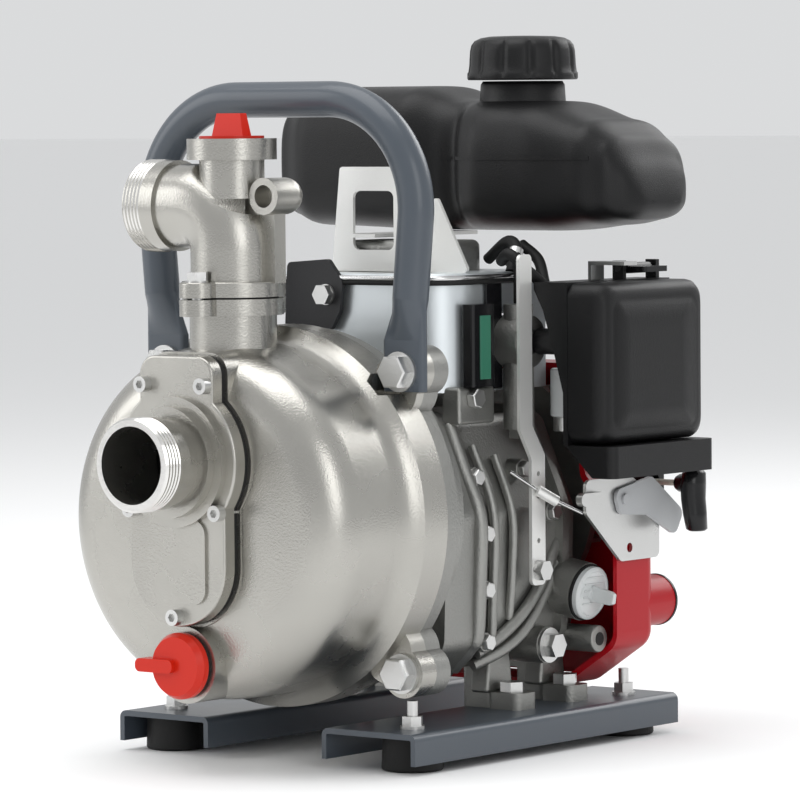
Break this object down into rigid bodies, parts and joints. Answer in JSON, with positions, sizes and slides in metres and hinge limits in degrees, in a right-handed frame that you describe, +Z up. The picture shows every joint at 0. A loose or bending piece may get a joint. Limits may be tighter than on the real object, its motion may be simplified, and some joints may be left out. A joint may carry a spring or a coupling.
{
  "type": "portable fire pump",
  "caption": "Portable engine-driven fire pump: drum casing with suction port, discharge elbow, carry handle, small four-stroke engine, top tank, recoil starter and base channels.",
  "frame": {"origin": "on the ground under the middle of the overall box, halfway between the sides and between the suction port and the recoil starter", "axes": "+Y from the suction port towards the recoil starter, +X to the air cleaner side, +Z up"},
  "size_m": [0.271, 0.35, 0.384],
  "materials": {
    "cast_aluminium": "cast, satin, with machined faces",
    "engine_aluminium": "die cast, matt",
    "slate_paint": "satin enamel",
    "orange_plastic": "smooth moulded",
    "red_paint": "gloss enamel",
    "black_plastic": "moulded, satin",
    "black_rubber": "moulded",
    "zinc_steel": "zinc plated",
    "lever_grey": "moulded",
    "black_steel": "heat resistant satin paint",
    "silver_sheet": "pressed sheet, satin",
    "bright_steel": "ground",
    "dull_aluminium": "as cast and turned",
    "clear_plastic": "light grey moulding",
    "filter_foam": "foam",
    "rope_fibre": "braided cord"
  },
  "bodies": {
    "pump_body": {"air_cleaner_case": "black_plastic", "base_channels": "slate_paint", "base_fasteners": "zinc_steel", "black_bracket": "black_steel", "carburettor": "engine_aluminium", "carry_handle": "slate_paint", "casing_bolts": "zinc_steel", "cleaner_hook": "zinc_steel", "control_plate": "zinc_steel", "cooling_shroud": "silver_sheet", "crank_bearings": "bright_steel", "crankcase": "engine_aluminium", "crankcase_cover": "engine_aluminium", "cylinder": "engine_aluminium", "discharge_elbow": "cast_aluminium", "fan_cover": "red_paint", "filter_element": "filter_foam", "fuel_hose": "black_rubber", "fuel_tank": "black_plastic", "head_cover": "engine_aluminium", "ignition_coil": "black_plastic", "intake_insulator": "black_plastic", "m6_bolts": "zinc_steel", "muffler": "black_steel", "muffler_guard": "black_steel", "oil_drain_bolt": "zinc_steel", "plug_cap": "black_rubber", "plug_seals": "black_rubber", "pump_adapter": "cast_aluminium", "pump_casing": "cast_aluminium", "pump_gaskets": "black_rubber", "recoil_cover": "black_plastic", "recoil_spring": "bright_steel", "rubber_feet": "black_rubber", "shaft_seals": "black_rubber", "shroud_top": "silver_sheet", "spark_plug": "bright_steel", "starter_rope": "rope_fibre", "stay_strap": "zinc_steel", "suction_cover": "cast_aluminium", "suction_cover_screws": "zinc_steel", "tank_bracket": "zinc_steel", "volute": "cast_aluminium"},
    "crank": {"crankshaft": "bright_steel", "impeller": "dull_aluminium", "seal_head": "black_rubber", "flywheel": "dull_aluminium"},
    "cam": {"camshaft": "bright_steel"},
    "piston_group": {"piston": "dull_aluminium"},
    "flap": {"suction_flap": "black_rubber"},
    "priming_cap": {"priming_plug": "orange_plastic"},
    "drain_cap": {"drain_plug": "orange_plastic"},
    "oil_filler_cap": {"oil_cap": "clear_plastic"},
    "fuel_filler_cap": {"fuel_cap": "black_plastic"},
    "grip": {"starter_grip": "black_plastic"},
    "pulley": {"recoil_pulley": "black_plastic"},
    "throttle": {"throttle_lever": "lever_grey"},
    "choke": {"choke_lever": "zinc_steel"},
    "cleaner_cover": {"air_cleaner_cover": "black_plastic"},
    "cleaner_clip": {"air_cleaner_clip": "black_plastic"}
  },
  "joints": [
    {"name": "crank_spin", "type": "hinge", "parent": "pump_body", "child": "crank", "pos_m": [0, 0, 0.13], "axis": [0, 1, 0], "continuous": true},
    {"name": "cam_spin", "type": "hinge", "parent": "pump_body", "child": "cam", "pos_m": [-0.02652, 0.05, 0.10348], "axis": [0, 1, 0], "continuous": true},
    {"name": "piston_stroke", "type": "slide", "parent": "pump_body", "child": "piston_group", "axis": [0, 0, 1], "range_m": [-0.036, 0]},
    {"name": "flap_swing", "type": "hinge", "parent": "pump_body", "child": "flap", "pos_m": [0, -0.127, 0.1894], "axis": [1, 0, 0], "range_deg": [0, 20]},
    {"name": "priming_cap_turn", "type": "hinge", "parent": "pump_body", "child": "priming_cap", "pos_m": [0, -0.093, 0.33], "axis": [0, 0, 1], "range_deg": [0, 1440]},
    {"name": "drain_cap_turn", "type": "hinge", "parent": "pump_body", "child": "drain_cap", "pos_m": [0, -0.14, 0.0575], "axis": [0, -1, 0], "range_deg": [0, 1440]},
    {"name": "oil_cap_turn", "type": "hinge", "parent": "pump_body", "child": "oil_filler_cap", "pos_m": [0.072, 0.1, 0.084], "axis": [0.9858, 0, -0.1678], "range_deg": [0, 1080]},
    {"name": "fuel_cap_turn", "type": "hinge", "parent": "pump_body", "child": "fuel_filler_cap", "pos_m": [0.026, 0.126, 0.36], "axis": [0, 0, 1], "range_deg": [0, 720]},
    {"name": "starter_pull", "type": "slide", "parent": "pump_body", "child": "grip", "axis": [1, 0, 0], "range_m": [0, 0.6], "deforming": ["starter_rope"]},
    {"name": "recoil_turn", "type": "hinge", "parent": "pump_body", "child": "pulley", "pos_m": [0, 0.16, 0.13], "axis": [0, 1, 0], "range_deg": [0, 1200], "deforming": ["recoil_spring"]},
    {"name": "throttle_swing", "type": "hinge", "parent": "pump_body", "child": "throttle", "pos_m": [0.1, 0.112, 0.132], "axis": [1, 0, 0], "range_deg": [-30, 0]},
    {"name": "choke_swing", "type": "hinge", "parent": "pump_body", "child": "choke", "pos_m": [0.1, 0.088, 0.134], "axis": [1, 0, 0], "range_deg": [0, 45]},
    {"name": "cleaner_cover_tilt", "type": "hinge", "parent": "pump_body", "child": "cleaner_cover", "pos_m": [0.129, 0.107, 0.1643], "axis": [0, 1, 0], "range_deg": [0, 30]},
    {"name": "cleaner_clip_lift", "type": "hinge", "parent": "pump_body", "child": "cleaner_clip", "pos_m": [0.094, 0.137, 0.2568], "axis": [0, -1, 0], "range_deg": [0, 60]}
  ],
  "couplings": [
    {"joint": "cam_spin", "follows": "crank_spin", "ratio": -0.5},
    {"joint": "recoil_turn", "follows": "starter_pull", "rad_per_m": 33.333}
  ]
}
